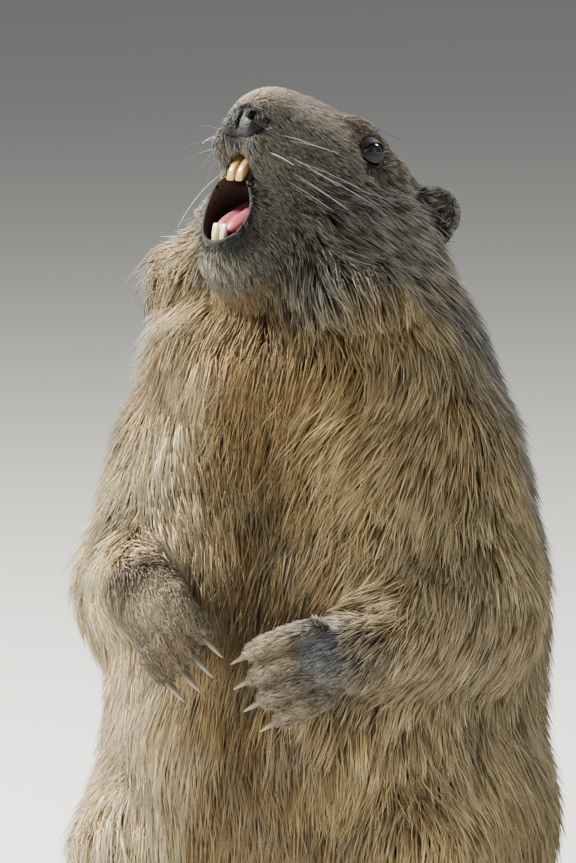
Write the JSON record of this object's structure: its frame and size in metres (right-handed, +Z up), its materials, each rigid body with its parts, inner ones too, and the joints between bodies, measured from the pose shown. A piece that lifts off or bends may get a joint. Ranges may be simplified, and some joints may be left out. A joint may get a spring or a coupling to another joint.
{
  "type": "alpine marmot",
  "caption": "Life-size alpine marmot sitting upright on its haunches, head raised and turned, mouth open in a call, forepaws held over the belly.",
  "frame": {"origin": "on the floor under the middle of the body, on the flat under the rump", "axes": "+Z up; the body faces -Y, and its left side is +X"},
  "size_m": [0.2192, 0.365, 0.4051],
  "materials": {
    "face_fur": "short dense coat, grey-brown ticked with pale tips",
    "body_fur": "long coarse coat, buff to golden brown with dark roots",
    "tail_fur": "bushy coat, dark towards the tip",
    "paw_skin": "thinly haired grey-brown skin",
    "claw_horn": "grey horn, worn and slightly glossy",
    "eye": "dark brown, wet",
    "nose_skin": "slate, slightly moist",
    "tongue": "pink, moist",
    "upper_tooth": "amber enamel",
    "lower_tooth": "cream enamel"
  },
  "bodies": {
    "root": {"head": "face_fur", "lower_jaw": "face_fur", "nose": "nose_skin", "tongue": "tongue", "eye_left": "eye", "ear_left": "face_fur", "incisor_upper_left": "upper_tooth", "incisor_lower_left": "lower_tooth", "eye_right": "eye", "ear_right": "face_fur", "incisor_upper_right": "upper_tooth", "incisor_lower_right": "lower_tooth", "torso": "body_fur", "neck": "body_fur", "upper_arm_left": "body_fur", "forearm_left": "body_fur", "forepaw_left": "paw_skin", "foreclaw_left_1": "claw_horn", "foreclaw_left_2": "claw_horn", "foreclaw_left_3": "claw_horn", "foreclaw_left_4": "claw_horn", "upper_arm_right": "body_fur", "forearm_right": "body_fur", "forepaw_right": "paw_skin", "foreclaw_right_1": "claw_horn", "foreclaw_right_2": "claw_horn", "foreclaw_right_3": "claw_horn", "foreclaw_right_4": "claw_horn", "thigh_left": "body_fur", "hind_foot_left": "paw_skin", "hindclaw_left_1": "claw_horn", "hindclaw_left_2": "claw_horn", "hindclaw_left_3": "claw_horn", "hindclaw_left_4": "claw_horn", "hindclaw_left_5": "claw_horn", "thigh_right": "body_fur", "hind_foot_right": "paw_skin", "hindclaw_right_1": "claw_horn", "hindclaw_right_2": "claw_horn", "hindclaw_right_3": "claw_horn", "hindclaw_right_4": "claw_horn", "hindclaw_right_5": "claw_horn", "tail_base": "body_fur", "tail_tip": "tail_fur"}
  },
  "joints": []
}
